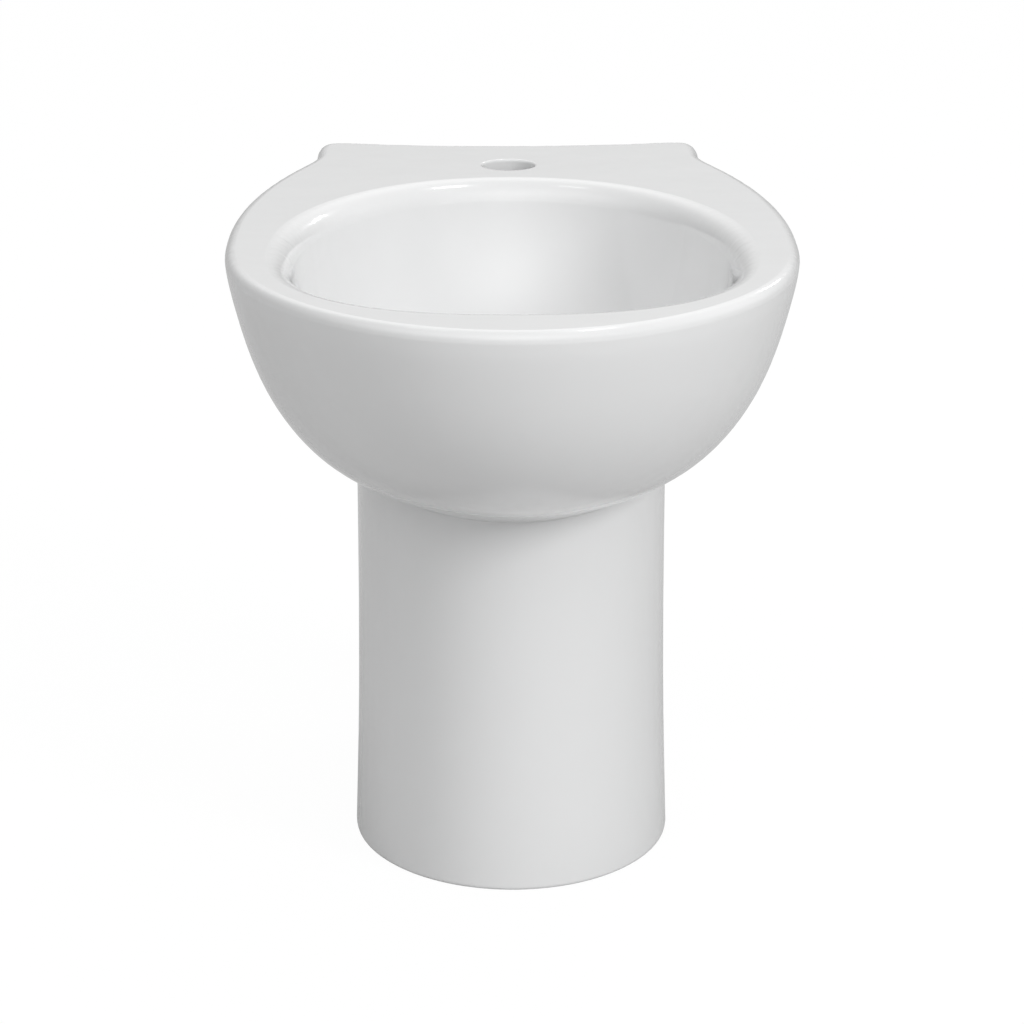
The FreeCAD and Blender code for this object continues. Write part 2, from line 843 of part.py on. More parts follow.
def waste_backnut():
    """Brass hexagon nut that clamps the waste to the ceramic."""
    top = BOSS_FOOT - size("bottom_seal_thickness") - size("slip_washer_thickness")
    height = size("backnut_height")
    prism = doc.addObject("Part::Prism", "backnut_hexagon")
    prism.Polygon = 6
    bind(prism, Circumradius=size("backnut_radius"), Height=height)
    place(prism, along=WASTE_Y, up=top - height)
    cone = doc.addObject("Part::Cone", "backnut_bevel")
    flat = size("backnut_radius") * math.cos(math.pi / 6)
    bind(cone, Radius1=flat, Radius2=flat + height, Height=height)
    place(cone, along=WASTE_Y, up=top - height)
    bored = rod(
        "backnut_bore", size("tail_diameter") / 2 + size("thread_clearance"),
        height + size("overrun") * 2, along=WASTE_Y, up=top - height - size("overrun"),
    )
    nut = cut("waste_backnut", shared("backnut_blank", prism, cone), bored)
    nut.Label = "waste_backnut"
    return nut


# Plug: the part that moves, and what carries it

def seat_level(share):
    """Height of the flange's sloping seat, from the bore (0) to the flange's flat (1)."""
    low = FLANGE_UNDER - size("flange_seat_depth")
    high = FLANGE_UNDER + size("flange_thickness") / 2
    return low * (1 - share) + high * share


def seat_radius(share):
    return size("tail_diameter") / 2 - size("tail_wall") + size("flange_seat_width") * share


def plug_cap():
    """Domed plated cap."""
    edge = size("plug_edge")
    dome = size("plug_dome_radius")
    radius = size("plug_radius")
    rise = dome.value - math.sqrt(dome.value ** 2 - radius.value ** 2)
    rise_text = f"({dome.text} - sqrt({dome.text} ^ 2 - {radius.text} ^ 2))"
    body = turned("plug_cap", [
        (NONE, PLUG_OPEN),
        (radius - edge, PLUG_OPEN),
        (radius, PLUG_OPEN + edge),
        (radius, PLUG_OPEN + edge * 2, dome),
        (NONE, PLUG_OPEN + edge * 2 + Length(rise, rise_text)),
    ])
    return place(body, along=WASTE_Y)


def plug_seal():
    """Rubber ring under the cap that closes on the flange's seat."""
    lift = size("plug_seat_gap") + size("plug_travel")
    low = seat_level(PLUG_SEAL_SHARES[0]) + lift
    middle = seat_level(PLUG_SEAL_SHARES[1]) + lift * SEAL_SHOULDER_SHARE
    inner = seat_radius(PLUG_SEAL_SHARES[0]) - size("plug_seal_width")
    body = turned("plug_seal", [
        (inner, low),
        (seat_radius(PLUG_SEAL_SHARES[0]), low),
        (seat_radius(PLUG_SEAL_SHARES[1]), middle),
        (seat_radius(PLUG_SEAL_SHARES[1]), PLUG_OPEN),
        (inner, PLUG_OPEN),
    ])
    return place(body, along=WASTE_Y)


def plug_stem():
    """Stem with the collar that the spring pushes up."""
    radius = size("stem_radius")
    bevel = size("stem_bevel")
    foot = PLUG_OPEN - size("stem_length")
    shoulder = PLUG_OPEN - size("stem_collar_height")
    body = turned("plug_stem", [
        (NONE, foot),
        (radius - bevel, foot),
        (radius, foot + bevel),
        (radius, shoulder),
        (size("stem_collar_radius"), shoulder),
        (size("stem_collar_radius"), PLUG_OPEN),
        (NONE, PLUG_OPEN),
    ])
    return place(body, along=WASTE_Y)


def plug_cartridge():
    """Guide for the stem: a sleeve held in the tail by a spoked ring."""
    bore = size("stem_radius") + size("guide_clearance")
    low = CARTRIDGE_TOP - size("cartridge_height")
    ledge = low + size("cartridge_ring_height")
    sleeve = size("cartridge_radius")
    outer = size("tail_diameter") / 2 - size("tail_wall") - size("thread_clearance")
    body = turned("plug_cartridge", [
        (bore, low),
        (outer, low),
        (outer, ledge),
        (sleeve, ledge),
        (sleeve, CARTRIDGE_TOP),
        (bore, CARTRIDGE_TOP),
    ])
    sketch = new_sketch(body, "window", "XY_Plane")
    spoke = size("cartridge_arm_width") / math.sqrt(2)
    reach = outer - size("cartridge_ring_width")
    near = sleeve + size("guide_clearance")
    far = reach * WINDOW_REACH_SHARE
    draw_outline(sketch, [
        (near, spoke - near),
        (far, spoke - far, reach),
        (far, far - spoke),
        (near, near - spoke),
    ])
    window = body.newObject("PartDesign::Pocket", "plug_cartridge_window_cut")
    window.Profile = sketch
    window.Type = "ThroughAll"
    window.Midplane = True
    pattern = body.newObject("PartDesign::PolarPattern", "plug_cartridge_windows")
    pattern.Originals = [window]
    pattern.Axis = (origin_item(body, "Z_Axis"), [""])
    pattern.Angle = 360
    pattern.Occurrences = SPOKE_COUNT
    body.Tip = pattern
    return place(body, along=WASTE_Y)


def arc_from(start, heading, end):
    """The arc that leaves start along a heading and reaches end."""
    chord = end - start
    side = heading - chord * (heading.dot(chord) / chord.dot(chord))
    bulge = chord.Length / 2 * math.tan(heading.getAngle(chord) / 2)
    return Part.Arc(start, (start + end) / 2 + side.normalize() * bulge, end).toShape()


def coil_path(radius, pitch, turns, foot):
    """A helix as two tangent arcs to each quarter turn."""
    places = []
    for quarter in range(turns * 4 + 1):
        angle = math.pi / 2 * quarter
        across = radius * math.cos(angle)
        aside = radius * math.sin(angle)
        spot = FreeCAD.Vector(across, aside, foot + pitch * quarter / 4)
        along = FreeCAD.Vector(-aside, across, pitch / (2 * math.pi))
        places.append((spot, along.normalize()))
    edges = []
    for (start, leaving), (end, arriving) in zip(places, places[1:]):
        chord = end - start
        square = 2 * (leaving.dot(arriving) - 1)
        single = -2 * chord.dot(leaving + arriving)
        reach = (-single - math.sqrt(single ** 2 - 4 * square * chord.dot(chord))) / (2 * square)
        first = start + leaving * reach
        second = end - arriving * reach
        joint = (first + second) / 2
        edges.append(arc_from(start, leaving, joint))
        edges.append(arc_from(joint, (second - first).normalize(), end))
    return Part.Wire(edges)


def plug_spring():
    """Coil between the cartridge and the stem's collar."""
    wire = number("spring_wire") / 2
    foot = CARTRIDGE_TOP.value + number("plug_seat_gap") + wire
    head = PLUG_OPEN.value - number("stem_collar_height") - number("plug_seat_gap") - wire
    pitch = (head - foot) / SPRING_TURNS
    path = coil_path(number("spring_radius"), pitch, SPRING_TURNS, foot)
    start = FreeCAD.Vector(number("spring_radius"), 0, foot)
    first = path.Edges[0]
    mouth = Part.Wire([Part.Circle(start, first.tangentAt(first.FirstParameter), wire).toShape()])
    spring = held("plug_spring", path.makePipeShell([mouth], True, False))
    spring.Label = "plug_spring"
    expected = math.pi * wire ** 2 * path.Length
    print("spring: least gap to itself", round(pitch - wire * 2, 2))
    print("spring: volume over section times length", round(spring.Shape.Volume / expected, 4))
    return place(spring, along=WASTE_Y)


# Bottle trap and outlet

def trap_inlet():
    """Washer under the tail and the nut that draws the trap's neck up to it."""
    collar = size("tail_diameter") / 2 - size("pipe_clearance")
    seal = turned("trap_inlet_seal", ring(
        size("trap_bore"), collar, NECK_TOP, NECK_TOP + size("trap_seal_thickness"),
    ))
    low = NECK_TOP - size("trap_collar_height") - size("nut_lip")
    thread = size("tail_diameter") / 2 + size("thread_clearance")
    outer = size("nut_radius")
    bevel = size("nut_lip") / 2
    nut = turned("trap_inlet_nut", [
        (size("trap_neck_radius") + size("pipe_clearance"), low),
        (outer - bevel, low),
        (outer, low + bevel),
        (outer, low + size("nut_height") - bevel),
        (outer - bevel, low + size("nut_height")),
        (thread, low + size("nut_height")),
        (thread, low + size("nut_lip")),
        (size("trap_neck_radius") + size("pipe_clearance"), low + size("nut_lip")),
    ])
    grips(nut, outer, size("grip_radius"))
    return [place(item, along=WASTE_Y) for item in (seal, nut)]


def trap_body():
    """Head with its neck and dip tube, and the outlet stub at the side."""
    collar = size("tail_diameter") / 2 - size("pipe_clearance")
    neck = size("trap_neck_radius")
    head = size("trap_head_radius")
    wall = size("trap_wall")
    bevel = wall
    body = turned("trap_body", [
        (NONE, HEAD_LOW - size("trap_skirt_height")),
        (size("trap_skirt_radius"), HEAD_LOW - size("trap_skirt_height")),
        (size("trap_skirt_radius"), HEAD_LOW),
        (head, HEAD_LOW),
        (head, HEAD_TOP - bevel),
        (head - bevel, HEAD_TOP),
        (neck, HEAD_TOP),
        (neck, NECK_TOP - size("trap_collar_height")),
        (collar, NECK_TOP - size("trap_collar_height")),
        (collar, NECK_TOP),
        (NONE, NECK_TOP),
    ])
    stub = new_sketch(body, "stub", "XZ_Plane")
    draw_circle(stub, NONE, OUTLET_Z, size("stub_radius"))
    pad = body.newObject("PartDesign::Pad", "trap_body_stub_pad")
    pad.Profile = stub
    pad.Reversed = True
    bind(pad, Length=head + size("stub_length"))
    mouth = new_sketch(body, "mouth", "XZ_Plane")
    draw_circle(mouth, NONE, OUTLET_Z, size("pipe_diameter") / 2 + size("pipe_clearance"))
    bore = body.newObject("PartDesign::Pocket", "trap_body_mouth_cut")
    bore.Profile = mouth
    bind(bore, Length=head + size("stub_length") + size("overrun"))
    dip = size("trap_bore") + size("trap_dip_wall")
    foot = HEAD_LOW - size("trap_dip_depth")
    inside = size("trap_skirt_radius") - wall
    turn(body, "room", [
        (dip, HEAD_LOW - size("trap_skirt_height")),
        (inside, HEAD_LOW - size("trap_skirt_height")),
        (inside, HEAD_LOW),
        (head - wall, HEAD_LOW + wall),
        (head - wall, HEAD_TOP - wall),
        (dip, HEAD_TOP - wall),
    ], cut=True)
    turn(body, "dip", ring(size("trap_bore"), dip, foot, HEAD_TOP))
    turn(body, "bore", [
        (NONE, foot),
        (size("trap_bore"), foot),
        (size("trap_bore"), NECK_TOP),
        (NONE, NECK_TOP),
    ], cut=True)
    return place(body, along=WASTE_Y)


def trap_cup():
    """Cup that unscrews for cleaning, and its seal."""
    top = HEAD_LOW - size("cup_seal_thickness")
    low = top - size("cup_height")
    collar = size("cup_collar_radius")
    outer = size("cup_radius")
    wall = size("cup_wall")
    thread = size("trap_skirt_radius") + size("thread_clearance")
    inside = outer - wall
    turning = size("cup_round")
    bevel = wall / 2
    body = turned("trap_cup", [
        (NONE, low),
        (outer - turning, low, turning),
        (outer, low + turning),
        (outer, top - size("cup_collar_height")),
        (collar - bevel, top - size("cup_collar_height")),
        (collar, top - size("cup_collar_height") + bevel),
        (collar, top),
        (thread, top),
        (thread, top - size("trap_skirt_height")),
        (inside, top - size("trap_skirt_height")),
        (inside, low + turning, wall - turning),
        (inside - turning + wall, low + wall),
        (NONE, low + wall),
    ])
    grips(body, collar, size("grip_radius") / 2)
    seal = turned("trap_cup_seal", ring(thread, collar - bevel, top, HEAD_LOW))
    return [place(item, along=WASTE_Y) for item in (body, seal)]


def outlet():
    """Seal, nut and pipe on the trap's outlet, modelled upright and laid along Y.

    A shallow ring round the pipe marks how far its free end goes into a wall socket.
    """
    stub = size("stub_length")
    thread = size("stub_radius") + size("thread_clearance")
    bore = size("pipe_diameter") / 2
    slack = bore + size("pipe_clearance")
    seal_top = stub + size("outlet_seal_length")
    low = seal_top + size("nut_lip") - size("outlet_nut_length")
    high = seal_top + size("nut_lip")
    bevel = size("nut_lip") / 2
    outer = size("outlet_nut_radius")
    seal = turned("trap_outlet_seal", [
        (bore + size("thread_clearance"), stub),
        (size("stub_radius"), stub),
        (size("stub_radius"), stub + bevel),
        (slack + bevel, seal_top),
        (bore + size("thread_clearance"), seal_top),
    ])
    nut = turned("trap_outlet_nut", [
        (thread, low),
        (outer - bevel, low),
        (outer, low + bevel),
        (outer, high - bevel),
        (outer - bevel, high),
        (slack, high),
        (slack, seal_top),
        (thread, seal_top),
    ])
    grips(nut, outer, size("grip_radius"))
    start = stub - size("pipe_entry")
    stub_root = WASTE_Y + size("trap_head_radius")
    end = REAR - size("pipe_end_margin") - stub_root
    mark = end - size("pipe_bevel") - size("socket_length")
    mark_foot = mark - size("socket_mark_width")
    pipe = turned("outlet_pipe", [
        (bore - size("pipe_wall"), start),
        (bore, start),
        (bore, mark_foot),
        (bore - size("socket_mark_depth"), mark_foot),
        (bore - size("socket_mark_depth"), mark),
        (bore, mark),
        (bore, end - size("pipe_bevel")),
        (bore - size("pipe_bevel"), end),
        (bore - size("pipe_wall"), end),
    ])
    laid = {"along": stub_root, "up": OUTLET_Z, "turn_axis": (1, 0, 0), "angle": -90.0}
    return [place(item, **laid) for item in (seal, nut, pipe)]


# Floor fixings, one set at each side

def wall_span(body, along, height):
    """Where the pedestal's side wall starts and ends, across, at a place."""
    reach = FreeCAD.Vector(number("overall_width"), along, height)
    probe = Part.makeLine(FreeCAD.Vector(0, along, height), reach)
    box = body.Shape.common(probe).BoundBox
    return box.XMin, box.XMax


def bracket(side, label, face):
    """Angle bracket on the floor, with the threaded insert for the side screw."""
    thick = size("bracket_thickness")
    height = size("bracket_height")
    foot = size("bracket_foot")
    bend = size("bracket_bend")
    body = new_body(label)
    sketch = new_sketch(body, "angle", "XZ_Plane")
    draw_outline(sketch, [
        (-foot, NONE),
        (-bend, NONE, bend),
        (NONE, bend),
        (NONE, height),
        (-thick, height),
        (-thick, bend, thick - bend),
        (-bend, thick),
        (-foot, thick),
    ])
    pad = body.newObject("PartDesign::Pad", f"{label}_pad")
    pad.Profile = sketch
    pad.Midplane = True
    bind(pad, Length=size("bracket_width"))
    insert = new_sketch(body, "insert", "YZ_Plane")
    draw_circle(insert, NONE, size("fixing_height"), size("insert_radius"))
    boss = body.newObject("PartDesign::Pad", f"{label}_insert_pad")
    boss.Profile = insert
    boss.Reversed = True
    bind(boss, Length=thick + size("insert_length"))
    thread = new_sketch(body, "thread", "YZ_Plane")
    draw_circle(thread, NONE, size("fixing_height"), size("screw_radius") + size("thread_clearance"))
    tapped = body.newObject("PartDesign::Pocket", f"{label}_thread_cut")
    tapped.Profile = thread
    tapped.Type = "ThroughAll"
    tapped.Midplane = True
    floor = new_sketch(body, "floor", "XY_Plane")
    draw_circle(floor, -size("floor_hole_inset"), NONE, size("floor_hole_diameter") / 2)
    hole = body.newObject("PartDesign::Pocket", f"{label}_floor_cut")
    hole.Profile = floor
    hole.Type = "ThroughAll"
    hole.Midplane = True
    body.Placement = FreeCAD.Placement(
        FreeCAD.Vector(side * face, FIXING_Y.value, 0),
        FreeCAD.Rotation(FreeCAD.Vector(0, 0, 1), 0 if side > 0 else 180),
    )
    return body


def laid_outward(body, side, face):
    """Lay an upright body along X so that its own Z points away from the pedestal."""
    body.Placement = FreeCAD.Placement(
        FreeCAD.Vector(side * face, FIXING_Y.value, number("fixing_height")),
        FreeCAD.Rotation(FreeCAD.Vector(0, 1, 0), 90 * side),
    )
    return body


def side_screw(side, word, face):
    """Screw through the pedestal's wall, its washer and the cap that hides its head."""
    base = size("base_thickness")
    head = size("screw_head_radius")
    shank = size("screw_radius")
    screw = turned(f"side_screw_{word}", [
        (NONE, base - size("screw_length")),
        (shank - size("stem_bevel"), base - size("screw_length")),
        (shank, base - size("screw_length") + size("stem_bevel")),
        (shank, base),
        (head, base),
        (head, base + size("screw_head_height") / 2),
        (head - size("screw_head_height") / 2, base + size("screw_head_height")),
        (NONE, base + size("screw_head_height")),
    ])
    washer = turned(f"screw_washer_{word}", ring(
        shank + size("cap_clearance"), size("base_radius"), NONE, base,
    ))
    inner = head + size("cap_clearance")
    outer = size("base_radius")
    roof = base + size("screw_head_height") + size("cap_clearance")
    cap = turned(f"screw_cap_{word}", [
        (outer - size("cap_wall"), base),
        (outer, base),
        (outer, roof + size("cap_wall") - size("cap_dome")),
        (outer - size("cap_dome"), roof + size("cap_wall")),
        (NONE, roof + size("cap_wall")),
        (NONE, roof),
        (inner, roof),
        (outer - size("cap_wall"), roof - size("cap_dome") / 2),
    ])
    return [laid_outward(item, side, face) for item in (screw, washer, cap)]


def fixings(body):
    """The bracket stands inside the wall and the screw comes in from outside."""
    half = number("bracket_width") / 2
    gap = number("bracket_gap")
    inner = min(
        wall_span(body, FIXING_Y.value + shift, height)[0]
        for shift in (-half, half)
        for height in (gap, number("bracket_height"))
    )
    radius = number("base_radius")
    outer = max(
        wall_span(body, FIXING_Y.value + shift, number("fixing_height") + rise)[1]
        for shift, rise in ((-radius, 0), (radius, 0), (0, -radius), (0, radius))
    )
    parts = []
    for side, word in ((-1, "left"), (1, "right")):
        parts.append(bracket(side, f"floor_bracket_{word}", inner - gap))
        parts.extend(side_screw(side, word, outer))
    return parts


def main():
    body = ceramic()
    doc.recompute()
    pieces = [body, waste_body(), waste_backnut(), plug_cap(), plug_seal(), plug_stem()]
    pieces += [plug_cartridge(), plug_spring(), trap_body()]
    pieces += waste_seals() + trap_inlet() + trap_cup() + outlet() + fixings(body)
    doc.recompute()
    for item in doc.Objects:
        if "Invalid" in item.State or "Error" in item.State:
            raise RuntimeError(f"{item.Label}: {item.State}")
    for piece in pieces:
        shape = piece.Shape
        if shape.isNull() or not shape.isValid() or shape.Volume <= 0:
            raise RuntimeError(f"{piece.Label}: bad shape")
    os.makedirs("parts", exist_ok=True)
    for piece in pieces:
        shape = piece.Shape
        box = shape.BoundBox
        print(
            f"{piece.Label:22s} solids {len(shape.Solids)} volume {shape.Volume:12.1f}",
            f"x {box.XMin:7.1f} {box.XMax:7.1f} y {box.YMin:7.1f} {box.YMax:7.1f}",
            f"z {box.ZMin:7.1f} {box.ZMax:7.1f}",
        )
        shape.exportStep(f"parts/{piece.Label}.step")


main()
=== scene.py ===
import json
import math

import bpy
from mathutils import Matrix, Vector


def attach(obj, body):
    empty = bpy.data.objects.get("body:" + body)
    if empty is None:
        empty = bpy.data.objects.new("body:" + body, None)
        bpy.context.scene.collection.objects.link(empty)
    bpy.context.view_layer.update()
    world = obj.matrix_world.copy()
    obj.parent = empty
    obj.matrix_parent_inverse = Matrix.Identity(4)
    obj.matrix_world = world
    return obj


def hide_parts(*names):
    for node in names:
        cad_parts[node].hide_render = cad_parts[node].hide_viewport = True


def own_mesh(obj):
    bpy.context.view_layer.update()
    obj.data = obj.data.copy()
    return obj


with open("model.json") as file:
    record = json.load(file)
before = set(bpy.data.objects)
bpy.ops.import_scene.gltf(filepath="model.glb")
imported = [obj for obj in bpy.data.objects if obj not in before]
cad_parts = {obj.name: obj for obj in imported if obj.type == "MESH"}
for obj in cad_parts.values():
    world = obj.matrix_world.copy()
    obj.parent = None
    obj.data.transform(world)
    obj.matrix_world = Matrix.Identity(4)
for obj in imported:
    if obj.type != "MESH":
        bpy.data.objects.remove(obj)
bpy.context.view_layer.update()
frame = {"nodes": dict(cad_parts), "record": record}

# Camera: the photo's viewing angle. Lengths are in metres and angles in radians.
CAMERA_PLACE = (-0.0354, -3.4996, 1.1811)
CAMERA_PITCH = 0.26956
CAMERA_YAW = -0.010211
FOCAL_PIXELS = 5641.9
FRAME_PIXELS = 1024
SENSOR_MM = 36.0
CAMERA_REACH = 60

# Studio: a white light tent over a pale floor, which lies a hair below the foot
FLOOR_HALF = 12.0
FLOOR_HEIGHT = -0.0002
FLOOR_SHADE = 0.52
FLOOR_ROUGHNESS = 0.9
# The floor is whitened by this share where it is seen, and shows the shadow with the rest
FLOOR_WHITENING = 0.90
FLOOR_GLOW = 1.06
# The tent's even light, its white where it is seen, and the share of that white in mirrored rays
TENT_LIGHT = 0.30
TENT_WHITE = 1.0
MIRRORED_WHITE = 0.10
# Brighter sides of the tent: degrees round from the front to the right, degrees up, tightness, strength
TENT_SIDES = {
    "front": (0, 40, 8, 1.25),
    "left": (-60, 40, 8, 0.71),
    "back": (180, 40, 8, 1.03),
    "right": (115, 20, 8, 0.50),
    "top": (0, 90, 8, 0.20),
}
# Lamps: place, width, height, watts, and whether the glaze mirrors it
LIGHT_TARGET = (0, 0, 0.30)
LAMPS = {
    "key": ((2.24, -2.24, 1.78), 1.10, 1.10, 50.0, False),
    "edge_line": ((0.68, 0.61, 2.74), 0.16, 0.42, 4.0, True),
    "faint_edge_line": ((-0.68, 0.61, 2.74), 0.10, 0.42, 0.6, True),
    "far_edge_line": ((1.10, 2.06, 1.44), 0.16, 0.30, 1.2, True),
}

# Materials: linear colours, texture scales per metre, depths in metres, roughness from low to high
REFRACTION = 1.5
GLAZE_TINTS = ((0.775, 0.778, 0.780), (0.800, 0.803, 0.805))
GLAZE_CLOUD_SCALE = 9.0
GLAZE_ROUGHNESS = (0.16, 0.26)
GLAZE_ROUGHNESS_SCALE = 34.0
GLAZE_COAT_ROUGHNESS = 0.035
GLAZE_WAVE_SCALE = 22.0
GLAZE_WAVE_STRENGTH = 0.25
GLAZE_WAVE_DEPTH = 0.0006
# Glazed edges look rounder than the solid's by about this much
GLAZE_SOFTNESS = 0.0018
GLAZE_SOFTNESS_SAMPLES = 6
METAL_CLOUD_SCALE = 60.0
METAL_GRAIN_STRENGTH = 0.35
METAL_GRAIN_DEPTH = 0.00002
ZINC_TINTS = ((0.66, 0.67, 0.68), (0.50, 0.51, 0.53))
ZINC_ROUGHNESS = (0.28, 0.46)
ZINC_CRYSTAL_SCALE = 320.0
ZINC_CRYSTAL_REACH = 0.9
ZINC_GRAIN_SCALE = 700.0
ZINC_GRAIN_DEPTH = 0.00003
PLASTIC_CLOUD_SCALE = 25.0
PLASTIC_GRAIN_DEPTH = 0.00003
FINE_GRAIN_STRENGTH = 0.3
RUBBER_TINTS = ((0.020, 0.020, 0.021), (0.045, 0.045, 0.046))
RUBBER_ROUGHNESS = (0.55, 0.75)
RUBBER_DUST_SCALE = 110.0
RUBBER_SKIN_SCALE = 1800.0
RUBBER_SKIN_STRENGTH = 0.4
RUBBER_SKIN_DEPTH = 0.00005


def camera():
    data = bpy.data.cameras.new("camera")
    data.sensor_width = SENSOR_MM
    data.lens = FOCAL_PIXELS / FRAME_PIXELS * SENSOR_MM
    data.clip_end = CAMERA_REACH
    item = bpy.data.objects.new("camera", data)
    bpy.context.scene.collection.objects.link(item)
    item.location = CAMERA_PLACE
    item.rotation_euler = (math.pi / 2 - CAMERA_PITCH, 0, CAMERA_YAW)
    bpy.context.scene.camera = item


# Node helpers

class Tree:
    """A node tree, with short ways to add and join its nodes."""

    def __init__(self, owner):
        owner.use_nodes = True
        self.tree = owner.node_tree
        self.tree.nodes.clear()

    def add(self, kind, **settings):
        node = self.tree.nodes.new(kind)
        for key, value in settings.items():
            setattr(node, key, value)
        return node

    def join(self, source, target):
        self.tree.links.new(source, target)

    def put(self, value, target):
        """Join another node's output to an input, or set the input to a plain value."""
        if isinstance(value, bpy.types.NodeSocket):
            self.join(value, target)
        else:
            target.default_value = value

    def math(self, operation, first, second=0.0):
        node = self.add("ShaderNodeMath", operation=operation)
        self.put(first, node.inputs[0])
        self.put(second, node.inputs[1])
        return node.outputs[0]

    def seen_directly(self):
        """1 for rays from the camera or through a clear piece, a share for mirrored rays, else 0."""
        ray = self.add("ShaderNodeLightPath").outputs
        mirrored = self.math("MULTIPLY", ray["Is Glossy Ray"], MIRRORED_WHITE)
        straight = self.math("MAXIMUM", ray["Is Camera Ray"], ray["Is Transmission Ray"])
        return self.math("MAXIMUM", straight, mirrored)


class Shader(Tree):
    """A material's node tree round one Principled shader."""

    def __init__(self, name):
        self.material = bpy.data.materials.new(name)
        super().__init__(self.material)
        self.output = self.add("ShaderNodeOutputMaterial")
        self.body = self.add("ShaderNodeBsdfPrincipled")
        self.join(self.body.outputs["BSDF"], self.output.inputs["Surface"])
        self.place = self.add("ShaderNodeTexCoord").outputs["Object"]

    def set(self, **values):
        for key, value in values.items():
            self.body.inputs[key.replace("_", " ")].default_value = value

    def stretched(self, scale):
        """The object's own coordinates, scaled along each axis."""
        mapping = self.add("ShaderNodeMapping")
        mapping.inputs["Scale"].default_value = scale
        self.join(self.place, mapping.inputs["Vector"])
        return mapping.outputs["Vector"]

    def noise(self, scale, detail=3.0, roughness=0.5, vector=None):
        node = self.add("ShaderNodeTexNoise")
        node.inputs["Scale"].default_value = scale
        node.inputs["Detail"].default_value = detail
        node.inputs["Roughness"].default_value = roughness
        self.join(vector or self.place, node.inputs["Vector"])
        return node.outputs["Fac"]

    def between(self, value, low, high, start=0.0, end=1.0):
        node = self.add("ShaderNodeMapRange")
        for key, number in (("From Min", start), ("From Max", end), ("To Min", low), ("To Max", high)):
            node.inputs[key].default_value = number
        self.join(value, node.inputs["Value"])
        return node.outputs["Result"]

    def blend(self, share, first, second):
        node = self.add("ShaderNodeMix", data_type="RGBA")
        self.join(share, node.inputs[0])
        for value, target in ((first, node.inputs[6]), (second, node.inputs[7])):
            if isinstance(value, tuple):
                target.default_value = (*value, 1)
            else:
                self.join(value, target)
        return node.outputs[2]

    def softened(self, radius, samples):
        """Normals averaged over a small radius, as where glaze has run over an edge."""
        node = self.add("ShaderNodeBevel", samples=samples)
        node.inputs["Radius"].default_value = radius
        return node.outputs["Normal"]

    def bump(self, height, strength, distance, before=None):
        node = self.add("ShaderNodeBump")
        node.inputs["Strength"].default_value = strength
        node.inputs["Distance"].default_value = distance
        self.join(height, node.inputs["Height"])
        if before:
            self.join(before, node.inputs["Normal"])
        self.join(node.outputs["Normal"], self.body.inputs["Normal"])
        return node.outputs["Normal"]

    def color(self, source):
        self.join(source, self.body.inputs["Base Color"])

    def rough(self, source):
        self.join(source, self.body.inputs["Roughness"])


# Materials

def glaze():
    """White vitreous china: a faintly clouded body under a clear, slightly wavy glaze."""
    shader = Shader("glaze")
    cloud = shader.noise(GLAZE_CLOUD_SCALE, detail=4.0)
    shader.color(shader.blend(cloud, *GLAZE_TINTS))
    shader.rough(shader.between(shader.noise(GLAZE_ROUGHNESS_SCALE), *GLAZE_ROUGHNESS))
    shader.set(
        IOR=REFRACTION, Coat_Weight=1.0, Coat_Roughness=GLAZE_COAT_ROUGHNESS, Coat_IOR=REFRACTION,
    )
    wave = shader.noise(GLAZE_WAVE_SCALE, detail=2.0, roughness=0.4)
    soft = shader.softened(GLAZE_SOFTNESS, GLAZE_SOFTNESS_SAMPLES)
    normal = shader.bump(wave, GLAZE_WAVE_STRENGTH, GLAZE_WAVE_DEPTH, soft)
    shader.join(normal, shader.body.inputs["Coat Normal"])
    return shader.material


def metal(name, dark, tint, rough, streaks=None, grain=900.0):
    """Metal with a slightly uneven polish; streaks stretch its grain along one axis."""
    shader = Shader(name)
    place = shader.stretched(streaks) if streaks else None
    cloud = shader.noise(METAL_CLOUD_SCALE, detail=4.0)
    shader.color(shader.blend(cloud, dark, tint))
    polish = shader.noise(grain, detail=3.0, roughness=0.6, vector=place)
    shader.rough(shader.between(polish, *rough))
    shader.set(Metallic=1.0)
    shader.bump(polish, METAL_GRAIN_STRENGTH, METAL_GRAIN_DEPTH)
    return shader.material


def zinc(name):
    """Hot-dip zinc: pale crystals of slightly different grey."""
    shader = Shader(name)
    cells = shader.add("ShaderNodeTexVoronoi", feature="F1")
    cells.inputs["Scale"].default_value = ZINC_CRYSTAL_SCALE
    shader.join(shader.place, cells.inputs["Vector"])
    spangle = shader.between(cells.outputs["Distance"], 0.0, 1.0, end=ZINC_CRYSTAL_REACH)
    shader.color(shader.blend(spangle, *ZINC_TINTS))
    shader.rough(shader.between(cells.outputs["Distance"], *ZINC_ROUGHNESS))
    shader.set(Metallic=1.0)
    shader.bump(shader.noise(ZINC_GRAIN_SCALE), FINE_GRAIN_STRENGTH, ZINC_GRAIN_DEPTH)
    return shader.material


def plastic(name, dark, tint, rough, streaks=None, grain=1400.0):
    """Moulded or drawn plastic with a fine grain; streaks stretch it along one axis."""
    shader = Shader(name)
    place = shader.stretched(streaks) if streaks else None
    cloud = shader.noise(PLASTIC_CLOUD_SCALE)
    shader.color(shader.blend(cloud, dark, tint))
    skin = shader.noise(grain, detail=2.0, vector=place)
    shader.rough(shader.between(skin, *rough))
    shader.set(IOR=REFRACTION)
    shader.bump(skin, FINE_GRAIN_STRENGTH, PLASTIC_GRAIN_DEPTH)
    return shader.material


